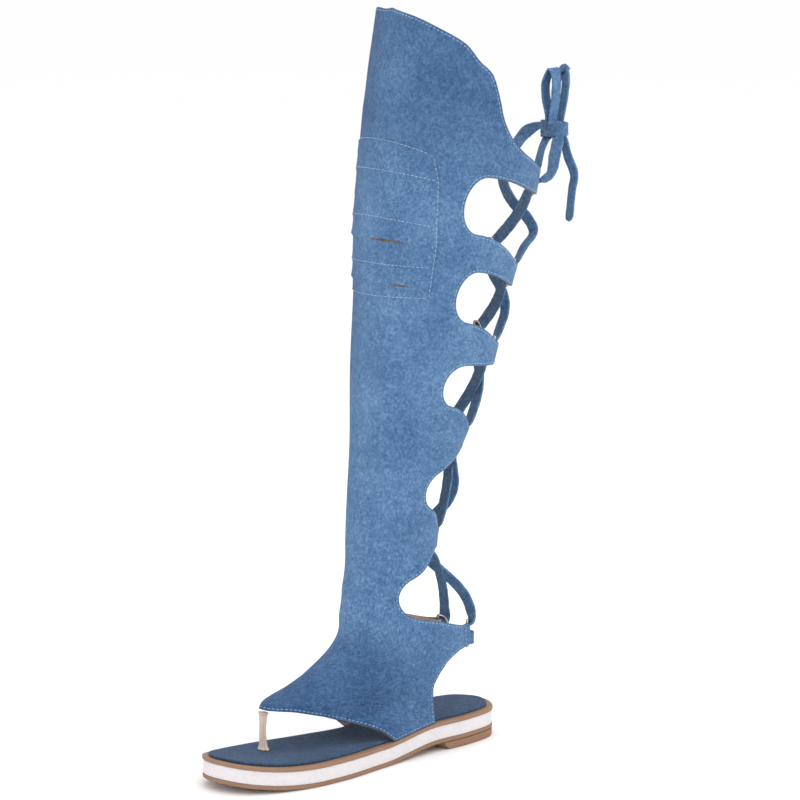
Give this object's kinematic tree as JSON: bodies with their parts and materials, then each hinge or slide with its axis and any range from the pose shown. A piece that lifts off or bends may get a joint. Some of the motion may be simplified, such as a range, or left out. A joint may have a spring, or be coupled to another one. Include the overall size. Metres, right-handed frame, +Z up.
{
  "type": "gladiator sandal",
  "caption": "Over-the-knee flat thong sandal for the left foot in denim, with scalloped tabs laced through D rings up the back and tied in a bow.",
  "frame": {"origin": "on the floor, on the heel block's flat underside, under the middle of the heel", "axes": "+X towards the toe, +Y towards the outer side of this left shoe, +Z up"},
  "size_m": [0.3259, 0.1323, 0.536],
  "materials": {
    "denim": "washed mid-blue denim, matte",
    "strap_denim": "washed mid-blue denim strap, matte",
    "footbed_denim": "darker blue denim, matte",
    "tan_rubber": "tan-brown moulded rubber, satin",
    "welt_tan": "tan welt, satin",
    "foam": "white speckled foam, matte",
    "nude": "pale nude, soft gloss",
    "metal": "polished silver-coloured metal"
  },
  "bodies": {
    "root": {"outsole": "tan_rubber", "heel_block": "tan_rubber", "midsole": "foam", "welt": "welt_tan", "insole": "footbed_denim", "upper": "denim", "toe_post": "nude", "ring_lateral_1": "metal", "ring_medial_1": "metal", "ring_lateral_2": "metal", "ring_medial_2": "metal", "ring_lateral_3": "metal", "ring_medial_3": "metal", "ring_lateral_4": "metal", "ring_medial_4": "metal", "ring_lateral_5": "metal", "ring_medial_5": "metal", "ring_lateral_6": "metal", "ring_medial_6": "metal", "lace_cross_1": "strap_denim", "lace_cross_2": "strap_denim", "lace_cross_3": "strap_denim", "lace_cross_4": "strap_denim", "lace_cross_5": "strap_denim", "lace_bar_6": "strap_denim", "lace_knot": "strap_denim", "lace_lead_lateral": "strap_denim", "lace_lead_medial": "strap_denim", "lace_loop_medial": "strap_denim", "lace_loop_lateral": "strap_denim", "lace_end_lateral": "strap_denim", "lace_end_medial": "strap_denim"}
  },
  "joints": []
}
